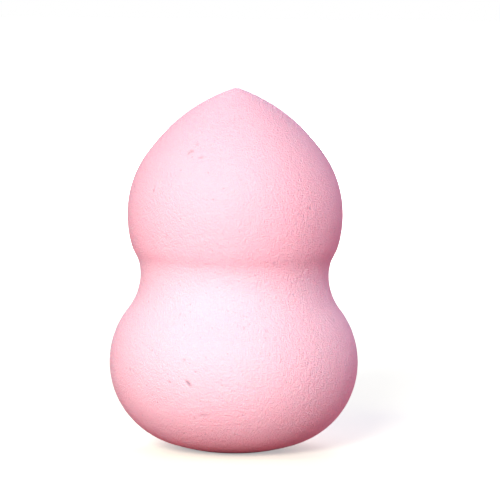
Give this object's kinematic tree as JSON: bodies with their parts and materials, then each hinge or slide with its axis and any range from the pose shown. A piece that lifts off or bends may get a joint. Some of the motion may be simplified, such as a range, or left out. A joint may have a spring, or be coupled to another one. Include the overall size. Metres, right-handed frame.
{
  "type": "makeup sponge",
  "caption": "Gourd shaped makeup sponge of soft open cell foam, with a pointed tip, a drawn-in waist to hold and a broad rounded base",
  "frame": {"origin": "centre of the flat foot under the belly, where the sponge stands", "axes": "+Z runs from the foot up through the waist to the pointed tip and is the axis of revolution; +X and +Y are alike, with -Y towards the viewer"},
  "size_m": [0.0412, 0.0412, 0.06],
  "materials": {
    "foam": "matte"
  },
  "bodies": {
    "root": {"foam_body": "foam"}
  },
  "joints": []
}
